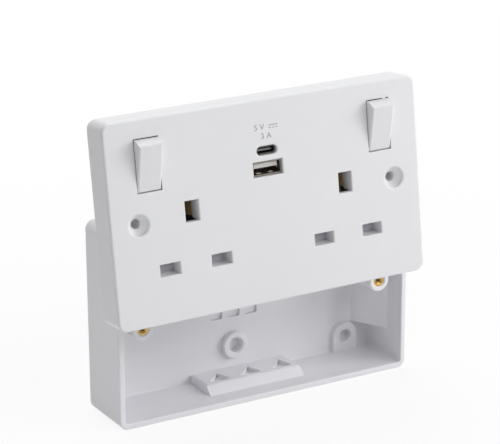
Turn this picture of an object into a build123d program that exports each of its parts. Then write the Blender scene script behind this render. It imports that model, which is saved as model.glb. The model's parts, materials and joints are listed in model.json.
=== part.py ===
"""Switched double socket with charging ports, lifted off its surface box.

Millimetres. The origin is on the wall, at the middle of the box's back face, with +Y into the wall,
+X to the right of someone facing it and +Z up. The plate assembly is unscrewed: it stands in front of
and above its open box, a little turned, with the back of its base against the box's top left corner.
"""
import os

from build123d import *

os.makedirs("parts", exist_ok=True)

TINY = 0.001

# Plate, as it is held in front of the box
PLATE_W = 146.0
PLATE_H = 86.0
PLATE_DEPTH = 14.5
PLATE_WALL = 2.4
FACE_WALL = 2.6
PLATE_CORNER = 4.0
FRONT_EDGE = 1.0
SCREW_INSET = 12.7
PLATE_SHIFT = -16.1
PLATE_LIFT = 58.5
PLATE_LEAN = 6.0
PLATE_YAW = 2.0
PLATE_ROLL = 1.1
REST_GAP = 0.2

# Surface box
BOX_MARGIN = 0.5
BOX_DEPTH = 30.0
BOX_WALL = 2.6
BOX_BACK = 2.4
BOX_CORNER = 4.0
BOX_BACK_EDGE = 1.0
INNER_EDGE = 0.9
RIM_EDGE = 0.6
PILLAR_R = 5.2
PILLAR_SINK = 2.5
PILLAR_EDGE = 0.6
PILLAR_WEB = 3.6
WEB_STEP = 6.0
INSERT_SINK = 0.5
INSERT_MOUTH = 0.45
INSERT_R = 2.9
INSERT_BORE_R = 1.45
INSERT_BORE_EDGE = 0.6
INSERT_LENGTH = 9.0
PAD_RISE = 2.5
PAD_EDGE = 0.8
PAD_SKIN = 0.8
PAD_HOLE_EDGE = 0.6
BOSS_R = 6.4
BOSS_END = 14.4
BOSS_HOLE_R = 3.5
LUG_R = 6.6
LUG_SIDE = 14.0
LUG_END = 7.3
LUG_HOLE_R = 3.0
KNOCKOUT_W = 6.7
KNOCKOUT_H = 26.8
KNOCKOUT_PITCH = 9.0
KNOCKOUT_SUNK = 1.0
KNOCKOUT_CORNER = 1.0
MIDDLE_SHIFT = -2.0
GUSSET_INSET = 13.3
GUSSET_FOOT = 9.6
GUSSET_FRONT = 11.1
STEP_W = 48.6
STEP_RISE = 3.7
STEP_FRONT = 9.0
STEP_SLOPE = 4.2
STEP_EDGE = 1.2
STEP_SKIN = 1.8
STEP_ROOF = 3.6
NOTCH_W = 10.8
NOTCH_LIP = 2.2
NOTCH_BACK = 8.4
NOTCH_SKEW = 3.2
NOTCH_DEEP = 2.0
NOTCH_PITCH = 16.2

# Pin apertures of one socket, from the socket's middle
PIN_SPREAD = 11.8
PIN_ROW_V = -20.5
EARTH_RISE = 22.4
PIN_W = 9.2
PIN_H = 5.1
EARTH_W = 6.2
EARTH_H = 8.8
PIN_TUNNEL = 7.0
COLLAR = 1.4
PIN_EDGE = 0.6

# Fixing screw recesses in the plate
RECESS_R = 4.4
RECESS_DEPTH = 1.3
RECESS_EDGE = 0.9
SCREW_CLEAR_R = 2.1
SCREW_BOSS_R = 6.2

# Rocker switches
ROCKER_INSET = 9.3
ROCKER_DROP = 15.1
ROCKER_OPEN_W = 11.2
ROCKER_OPEN_H = 22.4
ROCKER_GAP = 0.25
ROCKER_TILT = 16.0
ROCKER_FACE_RISE = 4.05
ROCKER_SKIRT = 1.5
ROCKER_WALL = 1.4
ROCKER_EDGE = 0.9
PIVOT_DEPTH = 1.5
TRUNNION_R = 0.85
TRUNNION_OUT = 1.2
TRUNNION_PLAY = 0.08
STEM_R = 2.7
STEM_REACH = 10.3
PLUNGER_R = 1.6
PLUNGER_NOSE_REACH = 13.15
PLUNGER_SHANK = 3.2
PLUNGER_PLAY = 0.1

# See-saw contact behind each rocker
SWITCH_DEPTH = 16.4
FULCRUM_R = 0.8
CONTACT_T = 0.8
CONTACT_W = 4.0
CONTACT_ARM = 8.2
CONTACT_BEND = 8.0
CONTACT_TILT = 5.0
RIVET_R = 1.5
RIVET_GAP = 0.1

# Brass strips and pin clips
STRIP_T = 0.8
STRIP_W = 4.0
STRIP_DEPTH = 20.0
EARTH_DEPTH = 24.0
CLIP_W = 7.0
CLIP_GAP = 3.8
CLIP_ROOM = 0.4
PIN_CLIP_MOUTH = 10.2
EARTH_CLIP_MOUTH = 7.4
EARTH_CLIP_SPREAD = 6.2
EARTH_CLIP_FLARE = 4.0
EARTH_STRIP_H = 5.0
NEUTRAL_RISE = 8.5
LIVE_DROP = 2.8
LIVE_H = 2.2
LIVE_RUN_STEP = 7.2
LIVE_TURN_V = -10.5
FIXED_TAB_LOW = 5.6
FIXED_TAB_HIGH = 10.4
FIXED_TAB_ARM = 2.0
LEG_STEP = 4.2
LEG_W = 2.0
BOARD_TAB_U = 12.0
BOARD_TAB_LAP = 1.0
RISER_U = -10.5
RISER_W = 3.0

# Terminals
TERMINAL_W = 8.0
TERMINAL_H = 6.4
TERMINAL_DEPTH = 7.0
LIVE_TERMINAL_IN = 12.0
WIRE_HOLE_R = 1.8
WIRE_HOLE_BACK = 3.0
EARTH_ENTRY_DROP = 9.0
TERMINAL_SCREW_R = 1.75
TERMINAL_SCREW_SINK = 0.8
DRIVE_W = 0.6
DRIVE_DEEP = 0.8

# Shutters
SHUTTER_T = 2.0
SHUTTER_WING_W = 11.0
SHUTTER_WING_H = 7.2
SHUTTER_BRIDGE_H = 3.0
SHUTTER_TRAVEL = 6.2
SHUTTER_PLAY = 0.15
RAIL_T = 1.2
SPRING_R = 1.6
SPRING_WIRE_R = 0.3
SPRING_PITCH = 2.3
SEAT_W = 6.0
SPRING_CLOSED = 4.6
RAMP_H = 4.0
RAMP_DEEP = 1.3

# Base moulding
BASE_SIDE_GAP = 7.1
BASE_END_GAP = 1.6
NECK_GAP = 0.6
BASE_SHOULDER_V = 9.0
BASE_CORNER = 2.0
BASE_FRONT = 11.0
BASE_REAR = 28.4
BASE_WALL = 1.6
BASE_FLOOR = 1.8
KEEPER_T = 1.5
KEEPER_H = 1.7
POST_R = 2.6
POST_END = 9.0
TOP_POST_STEP = 1.6
TOP_POST_DROP = 9.0
LOW_POST_U = 11.5
LOW_POST_RISE = 3.4
BASE_SCREW_R = 1.2
BASE_SCREW_HEAD_R = 2.0
BASE_SCREW_HEAD = 1.6
BASE_SCREW_LENGTH = 22.0
BASE_SCREW_SINK = 0.2
SCREW_PLAY = 0.15
PEDESTAL = 3.0
LIVE_PEDESTAL_V = 15.0
NEUTRAL_PEDESTAL_U = 20.0
BOARD_POST_R = 1.5
BOARD_POST_IN = 3.0
BOARD_POST_LOW = 4.0

# Charging module
PORT_SINK = 1.4
PORT_GAP = 0.3
USB_A_W = 13.2
USB_A_H = 5.7
USB_A_DROP = 6.2
USB_A_TONGUE_W = 11.0
USB_A_TONGUE_H = 1.9
USB_A_TONGUE_UP = 1.1
USB_C_W = 8.9
USB_C_H = 3.2
USB_C_RISE = 1.4
USB_C_TONGUE_W = 6.6
USB_C_TONGUE_H = 0.7
SHELL_T = 0.35
TONGUE_SINK = 1.2
TONGUE_BLOCK = 3.0
BOARD_W = 32.0
BOARD_H = 26.0
BOARD_DROP = 19.0
BOARD_T = 1.6
TRANSFORMER_W = 15.0
TRANSFORMER_H = 13.0
TRANSFORMER_T = 9.0
TRANSFORMER_DROP = 2.0
TRANSFORMER_CORNER = 1.5
CAPACITOR_R = 3.2
CAPACITOR_LENGTH = 9.0
CAPACITOR_OUT = 11.0
CAPACITOR_RISE = 5.6

# Sizes that follow from the plate's
BOX_W = PLATE_W + 2 * BOX_MARGIN
BOX_H = PLATE_H + 2 * BOX_MARGIN
FIXING_PITCH = PLATE_W - 2 * SCREW_INSET
BASE_W = PLATE_W - 2 * (PLATE_WALL + BASE_SIDE_GAP)
BASE_H = PLATE_H - 2 * (PLATE_WALL + BASE_END_GAP)
BASE_NECK_W = FIXING_PITCH - 2 * (SCREW_BOSS_R + NECK_GAP)

# Planes: the wall and the box's rim, looking out into the room, and the plate's tilted face
WALL = Plane(origin=(0, 0, 0), x_dir=(1, 0, 0), z_dir=(0, -1, 0))
INNER_BACK = WALL.offset(BOX_BACK)
TILT = WALL.rotated((-PLATE_LEAN, -PLATE_ROLL, -PLATE_YAW))
back_corner = TILT.x_dir * (-BASE_NECK_W / 2) - TILT.z_dir * BASE_REAR
rim_v = (BOX_H / 2 - PLATE_LIFT - back_corner.Z) / TILT.y_dir.Z
leaning_point = back_corner + TILT.y_dir * rim_v
FACE = Plane(
    origin=(PLATE_SHIFT, -BOX_DEPTH - REST_GAP - leaning_point.Y, PLATE_LIFT),
    x_dir=TILT.x_dir,
    z_dir=TILT.z_dir,
)

# Places that several pieces share, right (U) and up (V) from the middle of the plate or the box
SIDES = {"left": -1, "right": 1}
SOCKET_OUT = BASE_NECK_W / 2 - BASE_WALL - CLIP_ROOM - CLIP_W / 2 - PIN_SPREAD
SOCKETS = [-SOCKET_OUT, SOCKET_OUT]
EARTH_V = PIN_ROW_V + EARTH_RISE
ROCKER_OUT = BASE_W / 2 - ROCKER_INSET
ROCKER_V = BASE_H / 2 - ROCKER_DROP
BOARD_V = BASE_H / 2 - BOARD_DROP
USB_A_V = BOARD_V - USB_A_DROP
USB_C_V = BOARD_V + USB_C_RISE
SCREWS_U = [-FIXING_PITCH / 2, FIXING_PITCH / 2]
BOSS_UP = BOX_H / 2 - BOX_WALL - BOSS_END
BOSSES = [(MIDDLE_SHIFT, -BOSS_UP), (MIDDLE_SHIFT, BOSS_UP)]
LUG_OUT = BOX_W / 2 - BOX_WALL - LUG_SIDE
LUG_UP = BOX_H / 2 - BOX_WALL - LUG_END
LUGS = [(LUG_OUT, -LUG_UP), (-LUG_OUT, LUG_UP)]
FLOOR_DEPTH = BASE_REAR - BASE_FLOOR
SEAT_DEPTH = RECESS_DEPTH + RECESS_R - SCREW_CLEAR_R
BOARD_BACK = SWITCH_DEPTH
BOARD_DEPTH = BOARD_BACK - BOARD_T
SHUTTER_DEPTH = PIN_TUNNEL + SHUTTER_PLAY
SHUTTER_BACK = SHUTTER_DEPTH + SHUTTER_T
RAIL_OUT = PIN_SPREAD + SHUTTER_WING_W / 2 + SHUTTER_PLAY
SHUTTER_TOP_V = PIN_ROW_V + SHUTTER_WING_H / 2
SHUTTER_LOW_V = PIN_ROW_V - SHUTTER_WING_H / 2
SEAT_V = SHUTTER_LOW_V - SHUTTER_TRAVEL - SPRING_CLOSED
LIVE_V = BASE_H / 2 - LIVE_DROP
LIVE_RUN_U = SOCKET_OUT + LIVE_RUN_STEP
LIVE_CLIP_U = {"left": -SOCKET_OUT + PIN_SPREAD, "right": SOCKET_OUT + PIN_SPREAD}
FIXED_TAB_LOW_V = ROCKER_V + FIXED_TAB_LOW
FIXED_TAB_HIGH_V = ROCKER_V + FIXED_TAB_HIGH
LEG_OUT = ROCKER_OUT + LEG_STEP
NEUTRAL_V = NEUTRAL_RISE - BASE_H / 2
NEUTRAL_CLIPS_U = [-SOCKET_OUT - PIN_SPREAD, SOCKET_OUT - PIN_SPREAD]
TOP_POST_U = SOCKET_OUT + TOP_POST_STEP
TOP_POST_V = BASE_H / 2 - TOP_POST_DROP
LOW_POST_V = LOW_POST_RISE - BASE_H / 2
POSTS = [
    (-TOP_POST_U, TOP_POST_V),
    (TOP_POST_U, TOP_POST_V),
    (-LOW_POST_U, LOW_POST_V),
    (LOW_POST_U, LOW_POST_V),
]
ROCKER_R = ROCKER_OPEN_H / 2 - ROCKER_GAP
ROCKER_W = ROCKER_OPEN_W - 2 * ROCKER_GAP
FULCRUM_DEPTH = SWITCH_DEPTH - FULCRUM_R
TERMINALS = {
    "live": (TOP_POST_U - LIVE_TERMINAL_IN, LIVE_V + (LIVE_H - TERMINAL_H) / 2, SWITCH_DEPTH + STRIP_T),
    "neutral": (0.0, NEUTRAL_V, STRIP_DEPTH - TERMINAL_DEPTH),
    "earth": (0.0, EARTH_V, EARTH_DEPTH - TERMINAL_DEPTH),
}


def layer(depth):
    """The plane that lies this far behind the plate's face."""
    return FACE.offset(-depth)


def at(u, v, depth):
    """A point of the plate assembly: right, up and behind the middle of the plate's face."""
    return FACE.from_local_coords(Vector(u, v, -depth))


def patch(left, right, low, high, depth):
    """A rectangle of the plate assembly at one depth, given by its four sides."""
    with BuildSketch(layer(depth)) as sketch:
        with Locations(((left + right) / 2, (low + high) / 2)):
            Rectangle(abs(right - left), abs(high - low))
    return sketch.sketch


def base_outline(inset, depth):
    """The base's T-shaped outline, drawn in by the inset."""
    top = BASE_H / 2 - inset
    low = BASE_SHOULDER_V + inset
    with BuildSketch(layer(depth)) as sketch:
        with Locations((0, (top + low) / 2)):
            RectangleRounded(BASE_W - 2 * inset, top - low, BASE_CORNER)
        RectangleRounded(BASE_NECK_W - 2 * inset, BASE_H - 2 * inset, BASE_CORNER)
    return sketch.sketch


def section_at(point, tilt=0.0):
    """Upright section plane: X up along the face, Y out of it and Z to the right, turned top outwards."""
    up = FACE.y_dir.rotate(Axis(point, FACE.x_dir), tilt)
    return Plane(origin=point, x_dir=up, z_dir=FACE.x_dir)


def facing(part, direction):
    """The widest flat face of a part that looks in this direction."""
    flat = part.faces().filter_by(GeomType.PLANE)
    return flat.filter_by(lambda face: face.normal_at().dot(direction) > 0.999).sort_by(SortBy.AREA)[-1]


def rings_at(part, y, radius):
    """The round edges of this radius that lie in one plane along the wall."""
    rings = part.edges().filter_by(GeomType.CIRCLE)
    return rings.filter_by(lambda edge: abs(edge.arc_center.Y - y) < TINY and abs(edge.radius - radius) < TINY)


def save(part, name):
    """Name a finished piece and write its STEP file."""
    part.label = name
    export_step(part, f"parts/{name}.step")


# Surface box: a moulded tray with pillars, fixing pads, knock-outs and cable entry steps
inner_w = BOX_W - 2 * BOX_WALL
inner_h = BOX_H - 2 * BOX_WALL
pillar_height = BOX_DEPTH - BOX_BACK - PILLAR_SINK
pillar_front = -BOX_BACK - pillar_height
pad_front = -BOX_BACK - PAD_RISE
with BuildPart() as surface_box:
    with BuildSketch(WALL):
        RectangleRounded(BOX_W, BOX_H, BOX_CORNER)
    extrude(amount=BOX_DEPTH)
    fillet(facing(surface_box, Vector(0, 1, 0)).outer_wire().edges(), BOX_BACK_EDGE)
    with BuildSketch(INNER_BACK):
        RectangleRounded(inner_w, inner_h, BOX_CORNER - BOX_WALL)
    extrude(amount=BOX_DEPTH - BOX_BACK, mode=Mode.SUBTRACT)
    fillet(surface_box.faces().sort_by(Axis.Y)[0].edges(), RIM_EDGE)
    fillet(facing(surface_box, Vector(0, -1, 0)).outer_wire().edges(), INNER_EDGE)

    # Sloped gussets of the side entries, behind the pillars
    gusset_h = inner_h - 2 * GUSSET_INSET
    with BuildSketch(Plane.XY.offset(-gusset_h / 2)):
        for side in SIDES.values():
            with BuildLine():
                wall_x = side * (inner_w / 2 + BOX_WALL / 2)
                foot_x = side * (inner_w / 2 - GUSSET_FOOT)
                Polyline(
                    (wall_x, -BOX_BACK / 2),
                    (foot_x, -BOX_BACK / 2),
                    (foot_x, -BOX_BACK),
                    (side * inner_w / 2, -BOX_DEPTH + GUSSET_FRONT),
                    (wall_x, -BOX_DEPTH + GUSSET_FRONT),
                    close=True,
                )
            make_face()
    extrude(amount=gusset_h)

    # Pillars for the plate's screws, each tied to its side wall by a lower web
    with BuildSketch(INNER_BACK):
        with Locations(*[(u, 0) for u in SCREWS_U]):
            Circle(PILLAR_R)
    extrude(amount=pillar_height)
    with BuildSketch(INNER_BACK):
        for side in SIDES.values():
            web_length = (inner_w - FIXING_PITCH) / 2 + BOX_WALL / 2
            with Locations((side * (FIXING_PITCH + web_length) / 2, 0)):
                Rectangle(web_length, PILLAR_WEB)
    extrude(amount=pillar_height - WEB_STEP)
    chamfer(rings_at(surface_box, pillar_front, PILLAR_R), PILLAR_EDGE)
    with BuildSketch(INNER_BACK.offset(pillar_height)):
        with Locations(*[(u, 0) for u in SCREWS_U]):
            Circle(INSERT_R)
    extrude(amount=-INSERT_SINK - INSERT_LENGTH, mode=Mode.SUBTRACT)
    chamfer(rings_at(surface_box, pillar_front, INSERT_R), INSERT_MOUTH)

    # Raised pads for the wall screws: bosses near the middle line, lugs in two corners
    lug_length = LUG_END + BOX_WALL / 2
    with BuildSketch(INNER_BACK):
        with Locations(*BOSSES):
            Circle(BOSS_R)
        for u, v in LUGS:
            row = 1 if v > 0 else -1
            with Locations((u, v)):
                Circle(LUG_R)
            with Locations((u, v + row * lug_length / 2)):
                Rectangle(2 * LUG_R, lug_length)
    extrude(amount=PAD_RISE)
    pad_rims = surface_box.edges().filter_by(
        lambda edge: abs(edge.center().Y - pad_front) < TINY and abs(edge.center().Z) < inner_h / 2 - PAD_EDGE
    )
    fillet(pad_rims, PAD_EDGE)

    # Cable entry steps along the two long walls, hollow from outside
    step_front = -BOX_DEPTH + STEP_FRONT + STEP_SLOPE
    step_level = inner_h / 2 - STEP_RISE
    with BuildSketch(Plane.YZ.offset(-STEP_W / 2)):
        for row in (-1, 1):
            with BuildLine():
                wall_z = row * (inner_h / 2 + BOX_WALL / 2)
                Polyline(
                    (-BOX_BACK / 2, wall_z),
                    (-BOX_BACK / 2, row * step_level),
                    (step_front, row * step_level),
                    (step_front - STEP_SLOPE, row * inner_h / 2),
                    (step_front - STEP_SLOPE, wall_z),
                    close=True,
                )
            make_face()
    extrude(amount=STEP_W)
    step_rims = surface_box.edges().filter_by(
        lambda edge: abs(abs(edge.center().Z) - step_level) < TINY and edge.center().Y < pad_front
    )
    fillet(step_rims, STEP_EDGE)
    with BuildSketch(WALL):
        for row in (-1, 1):
            hollow_h = STEP_RISE + BOX_WALL - STEP_ROOF
            with Locations((0, row * (BOX_H / 2 - hollow_h / 2))):
                Rectangle(STEP_W - 2 * STEP_SKIN, hollow_h)
    extrude(amount=-step_front - STEP_SKIN, mode=Mode.SUBTRACT)

    # Three-cornered pockets in the top of the lower step
    with BuildSketch(Plane.XY.offset(-step_level)):
        for index in (-1, 0, 1):
            middle = index * NOTCH_PITCH
            pocket_front = step_front + NOTCH_LIP
            with BuildLine():
                Polyline(
                    (middle - NOTCH_W / 2, pocket_front),
                    (middle + NOTCH_W / 2, pocket_front),
                    (middle + NOTCH_SKEW, pocket_front + NOTCH_BACK),
                    close=True,
                )
            make_face()
    extrude(amount=-NOTCH_DEEP, mode=Mode.SUBTRACT)

    # Thin knock-out panels in the back wall, and the wall screw holes, each closed by a skin
    with BuildSketch(INNER_BACK):
        with Locations((MIDDLE_SHIFT, 0)):
            with GridLocations(KNOCKOUT_PITCH, 0, 3, 1):
                RectangleRounded(KNOCKOUT_W, KNOCKOUT_H, KNOCKOUT_CORNER)
    extrude(amount=-KNOCKOUT_SUNK, mode=Mode.SUBTRACT)
    with BuildSketch(WALL.offset(PAD_SKIN)):
        with Locations(*BOSSES):
            Circle(BOSS_HOLE_R)
        with Locations(*LUGS):
            Circle(LUG_HOLE_R)
    extrude(amount=BOX_BACK + PAD_RISE - PAD_SKIN, mode=Mode.SUBTRACT)
    chamfer(rings_at(surface_box, pad_front, BOSS_HOLE_R), PAD_HOLE_EDGE)
    chamfer(rings_at(surface_box, pad_front, LUG_HOLE_R), PAD_HOLE_EDGE)
save(surface_box.part, "surface_box")

# Brass inserts, one in each pillar
insert_front = pillar_front + INSERT_SINK
for name, side in SIDES.items():
    with BuildPart() as insert:
        with BuildSketch(WALL.offset(-insert_front)):
            with Locations((side * FIXING_PITCH / 2, 0)):
                Circle(INSERT_R)
                Circle(INSERT_BORE_R, mode=Mode.SUBTRACT)
        extrude(amount=-INSERT_LENGTH)
        chamfer(rings_at(insert, insert_front, INSERT_BORE_R), INSERT_BORE_EDGE)
    save(insert.part, f"{name}_insert")

# Faceplate: a shallow moulded cover with all its openings, collars, posts and rails
with BuildPart() as faceplate:
    with BuildSketch(FACE):
        RectangleRounded(PLATE_W, PLATE_H, PLATE_CORNER)
    extrude(amount=-PLATE_DEPTH)
    fillet(facing(faceplate, FACE.z_dir).outer_wire().edges(), FRONT_EDGE)
    with BuildSketch(layer(FACE_WALL)):
        RectangleRounded(PLATE_W - 2 * PLATE_WALL, PLATE_H - 2 * PLATE_WALL, PLATE_CORNER - PLATE_WALL)
    extrude(amount=FACE_WALL - PLATE_DEPTH, mode=Mode.SUBTRACT)

    # Collars behind the live and neutral apertures, and a wall on either side of the earth apertures
    with BuildSketch(layer(FACE_WALL)):
        for socket in SOCKETS:
            with Locations((socket - PIN_SPREAD, PIN_ROW_V), (socket + PIN_SPREAD, PIN_ROW_V)):
                Rectangle(PIN_W + 2 * COLLAR, PIN_H + 2 * COLLAR)
            for side in SIDES.values():
                with Locations((socket + side * (EARTH_W + COLLAR) / 2, EARTH_V)):
                    Rectangle(COLLAR, EARTH_H)
    extrude(amount=FACE_WALL - PIN_TUNNEL)

    # Bosses for the fixing screws and posts for the base
    with BuildSketch(layer(FACE_WALL)):
        with Locations(*[(u, 0) for u in SCREWS_U]):
            Circle(SCREW_BOSS_R)
    extrude(amount=FACE_WALL - PLATE_DEPTH)
    with BuildSketch(layer(FACE_WALL)):
        with Locations(*POSTS):
            Circle(POST_R)
    extrude(amount=FACE_WALL - POST_END)
    with BuildSketch(layer(POST_END)):
        with Locations(*POSTS):
            Circle(BASE_SCREW_R + SCREW_PLAY)
    extrude(amount=POST_END - FACE_WALL, mode=Mode.SUBTRACT)

    # Rails beside each shutter, and the seat under its spring
    with BuildSketch(layer(FACE_WALL)):
        for socket in SOCKETS:
            for side in SIDES.values():
                with Locations((socket + side * (RAIL_OUT + RAIL_T / 2), PIN_ROW_V - SHUTTER_TRAVEL / 2)):
                    Rectangle(RAIL_T, SHUTTER_WING_H + SHUTTER_TRAVEL)
            with Locations((socket, SEAT_V - RAIL_T / 2)):
                Rectangle(SEAT_W, RAIL_T)
    extrude(amount=FACE_WALL - SHUTTER_BACK - SPRING_R)

    # Openings through the face
    with BuildSketch(FACE):
        for socket in SOCKETS:
            with Locations((socket - PIN_SPREAD, PIN_ROW_V), (socket + PIN_SPREAD, PIN_ROW_V)):
                Rectangle(PIN_W, PIN_H)
    extrude(amount=-PIN_TUNNEL, mode=Mode.SUBTRACT)
    with BuildSketch(FACE):
        with Locations((-SOCKET_OUT, EARTH_V), (SOCKET_OUT, EARTH_V)):
            Rectangle(EARTH_W, EARTH_H)
        with Locations((-ROCKER_OUT, ROCKER_V), (ROCKER_OUT, ROCKER_V)):
            Rectangle(ROCKER_OPEN_W, ROCKER_OPEN_H)
        with Locations((0, USB_A_V)):
            Rectangle(USB_A_W + 2 * PORT_GAP, USB_A_H + 2 * PORT_GAP)
        with Locations((0, USB_C_V)):
            SlotOverall(USB_C_W + 2 * PORT_GAP, USB_C_H + 2 * PORT_GAP)
    extrude(amount=-FACE_WALL, mode=Mode.SUBTRACT)

    # Countersunk recesses and holes for the fixing screws
    with BuildSketch(FACE):
        with Locations(*[(u, 0) for u in SCREWS_U]):
            Circle(RECESS_R)
    extrude(amount=-RECESS_DEPTH, mode=Mode.SUBTRACT)
    for u in SCREWS_U:
        with Locations(Plane(origin=at(u, 0, RECESS_DEPTH), x_dir=FACE.x_dir, z_dir=-FACE.z_dir)):
            Cone(
                RECESS_R,
                SCREW_CLEAR_R,
                SEAT_DEPTH - RECESS_DEPTH,
                align=(Align.CENTER, Align.CENTER, Align.MIN),
                mode=Mode.SUBTRACT,
            )
    with BuildSketch(FACE):
        with Locations(*[(u, 0) for u in SCREWS_U]):
            Circle(SCREW_CLEAR_R)
    extrude(amount=-PLATE_DEPTH, mode=Mode.SUBTRACT)

    # Bearing slots for the rocker trunnions, open to the back
    slot_r = TRUNNION_R + TRUNNION_PLAY
    with BuildSketch(layer(FACE_WALL)):
        slot_reach = TRUNNION_OUT + 2 * ROCKER_GAP
        for side in SIDES.values():
            for end in (-1, 1):
                middle = side * ROCKER_OUT + end * (ROCKER_OPEN_W + slot_reach) / 2
                with Locations((middle, ROCKER_V)):
                    Rectangle(slot_reach, 2 * slot_r)
    extrude(amount=FACE_WALL - PIVOT_DEPTH + slot_r, mode=Mode.SUBTRACT)

    # Softened edges of the openings, other than the rockers'
    rims = facing(faceplate, FACE.z_dir).inner_wires()
    round_rims = rims.filter_by(lambda wire: len(wire.edges()) == 1)
    port_rims = rims.filter_by(lambda wire: len(wire.edges()) > 1 and wire.length < 2 * ROCKER_OPEN_H)
    fillet(round_rims.edges(), RECESS_EDGE)
    fillet(port_rims.edges(), PIN_EDGE)
save(faceplate.part, "faceplate")

# Rocker switches: a hollow D-shaped rocker on trunnions, with a stem for its plunger and spring
for name, side in SIDES.items():
    section = section_at(at(side * ROCKER_OUT, ROCKER_V, PIVOT_DEPTH), ROCKER_TILT)
    stem_plane = Plane(origin=section.origin, x_dir=section.z_dir, z_dir=-section.y_dir)
    with BuildPart() as rocker:
        body_h = ROCKER_FACE_RISE + ROCKER_SKIRT
        with BuildSketch(section):
            Circle(ROCKER_R)
            with Locations((0, ROCKER_FACE_RISE - body_h / 2)):
                Rectangle(2 * ROCKER_R, body_h, mode=Mode.INTERSECT)
        extrude(amount=ROCKER_W / 2, both=True)
        fillet(facing(rocker, section.y_dir).edges(), ROCKER_EDGE)
        with BuildSketch(section):
            Circle(ROCKER_R - ROCKER_WALL)
            hollow_h = body_h - ROCKER_WALL
            with Locations((0, -ROCKER_SKIRT + hollow_h / 2)):
                Rectangle(2 * ROCKER_R, hollow_h, mode=Mode.INTERSECT)
        extrude(amount=ROCKER_W / 2 - ROCKER_WALL, both=True, mode=Mode.SUBTRACT)
        with BuildSketch(stem_plane.offset(ROCKER_WALL - ROCKER_FACE_RISE)):
            Circle(STEM_R)
        extrude(amount=STEM_REACH + ROCKER_FACE_RISE - ROCKER_WALL)
        with BuildSketch(stem_plane.offset(STEM_REACH)):
            Circle(PLUNGER_R + PLUNGER_PLAY)
        extrude(amount=-STEM_REACH, mode=Mode.SUBTRACT)
        for end in (-1, 1):
            with BuildSketch(section.offset(end * ROCKER_W / 2)):
                Circle(TRUNNION_R)
            extrude(amount=end * TRUNNION_OUT)
    save(rocker.part, f"{name}_rocker")

    with BuildPart() as plunger:
        with BuildSketch(stem_plane.offset(PLUNGER_NOSE_REACH - PLUNGER_R)):
            Circle(PLUNGER_R)
        extrude(amount=-PLUNGER_SHANK)
        with Locations(stem_plane.offset(PLUNGER_NOSE_REACH - PLUNGER_R)):
            Sphere(PLUNGER_R)
    save(plunger.part, f"{name}_plunger")

    spring_height = PLUNGER_NOSE_REACH - PLUNGER_R - PLUNGER_SHANK - 2 * SPRING_WIRE_R
    spring_mean_r = PLUNGER_R - SPRING_WIRE_R
    with BuildPart() as rocker_spring:
        with BuildLine(stem_plane.offset(SPRING_WIRE_R)):
            coil = Helix(
                pitch=SPRING_PITCH,
                height=spring_height,
                radius=spring_mean_r,
                direction=tuple(stem_plane.z_dir),
            )
        with BuildSketch(Plane(origin=coil @ 0, x_dir=stem_plane.x_dir, z_dir=coil % 0)):
            RegularPolygon(SPRING_WIRE_R, 6)
        sweep(path=coil, is_frenet=True)
    save(rocker_spring.part, f"{name}_rocker_spring")

    # See-saw contact: a shallow V of strip that rocks on the live bar's fulcrum
    fulcrum = at(side * ROCKER_OUT, ROCKER_V, FULCRUM_DEPTH)
    with BuildPart() as moving_contact:
        for end in (-1, 1):
            with BuildSketch(section_at(fulcrum, end * CONTACT_BEND - CONTACT_TILT)):
                with Locations((end * CONTACT_ARM / 2, RIVET_GAP + CONTACT_T / 2)):
                    Rectangle(CONTACT_ARM, CONTACT_T)
            extrude(amount=CONTACT_W / 2, both=True)
    save(moving_contact.part, f"{name}_moving_contact")

# Shutters: a pair of wings joined below, with sloped tops that the plug's pins push down, and a spring
for name, side in SIDES.items():
    socket = side * SOCKET_OUT
    with BuildPart() as shutter:
        with BuildSketch(layer(SHUTTER_DEPTH)):
            with Locations((socket - PIN_SPREAD, PIN_ROW_V), (socket + PIN_SPREAD, PIN_ROW_V)):
                Rectangle(SHUTTER_WING_W, SHUTTER_WING_H)
            with Locations((socket, SHUTTER_LOW_V + SHUTTER_BRIDGE_H / 2)):
                Rectangle(2 * PIN_SPREAD, SHUTTER_BRIDGE_H)
        extrude(amount=-SHUTTER_T)
        top_edge = at(socket, SHUTTER_TOP_V, SHUTTER_DEPTH)
        with BuildSketch(section_at(top_edge)):
            with BuildLine():
                Polyline((0, 0), (-RAMP_H, 0), (0, -RAMP_DEEP), close=True)
            make_face()
        extrude(amount=RAIL_OUT, both=True, mode=Mode.SUBTRACT)
    save(shutter.part, f"{name}_shutter")

    seat = at(socket, SEAT_V, SHUTTER_DEPTH + SHUTTER_T / 2)
    spring_plane = Plane(origin=seat, x_dir=FACE.x_dir, z_dir=FACE.y_dir)
    with BuildPart() as shutter_spring:
        with BuildLine(spring_plane.offset(SPRING_WIRE_R)):
            coil = Helix(
                pitch=SPRING_PITCH,
                height=SHUTTER_TRAVEL + SPRING_CLOSED - 2 * SPRING_WIRE_R,
                radius=SPRING_R - SPRING_WIRE_R,
                direction=tuple(spring_plane.z_dir),
            )
        with BuildSketch(Plane(origin=coil @ 0, x_dir=spring_plane.x_dir, z_dir=coil % 0)):
            RegularPolygon(SPRING_WIRE_R, 6)
        sweep(path=coil, is_frenet=True)
    save(shutter_spring.part, f"{name}_shutter_spring")

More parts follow.
